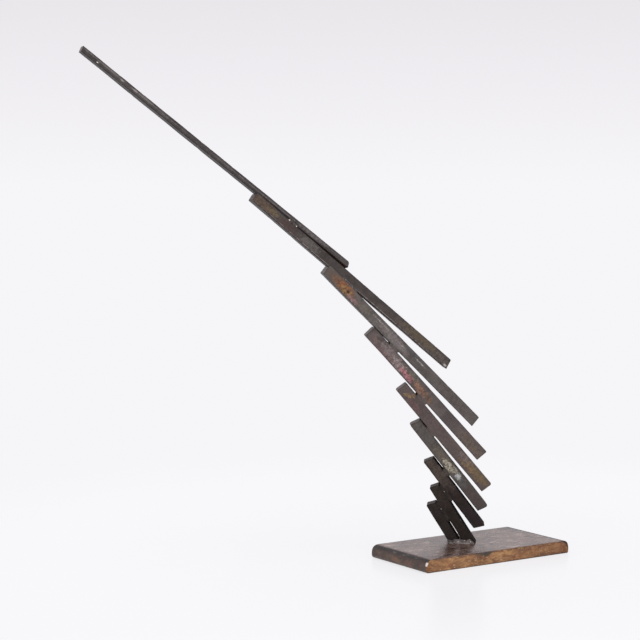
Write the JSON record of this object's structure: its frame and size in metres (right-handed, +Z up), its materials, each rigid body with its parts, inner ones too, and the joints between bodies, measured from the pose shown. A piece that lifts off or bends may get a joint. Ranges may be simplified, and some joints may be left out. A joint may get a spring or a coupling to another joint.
{
  "type": "abstract metal sculpture",
  "caption": "Abstract sculpture of flat steel bars fanned out and welded in a leaning arc above a rusty rectangular steel base plate, for display on a table or plinth.",
  "frame": {"origin": "centre of the base plate's underside", "axes": "+Z up, +X along the plate's long side to the right, +Y to the back; the bars lean towards -X and +Y"},
  "size_m": [0.4989, 0.2186, 0.5568],
  "materials": {
    "plate_steel": "blackened top with rusty edges, satin",
    "bar_steel": "dark waxed steel with heat tints and a little rust, satin",
    "weld_metal": "dressed weld metal, satin"
  },
  "bodies": {
    "root": {"base_plate": "plate_steel", "bar_9_lowest": "bar_steel", "bar_8": "bar_steel", "bar_7": "bar_steel", "bar_6": "bar_steel", "bar_5": "bar_steel", "bar_4": "bar_steel", "bar_3": "bar_steel", "bar_2": "bar_steel", "bar_1_longest": "bar_steel", "weld_8_9": "weld_metal", "weld_7_8": "weld_metal", "weld_6_7": "weld_metal", "weld_5_6": "weld_metal", "weld_4_5": "weld_metal", "weld_3_4": "weld_metal", "weld_2_3": "weld_metal", "weld_1_2": "weld_metal", "foot_weld": "weld_metal"}
  },
  "joints": []
}
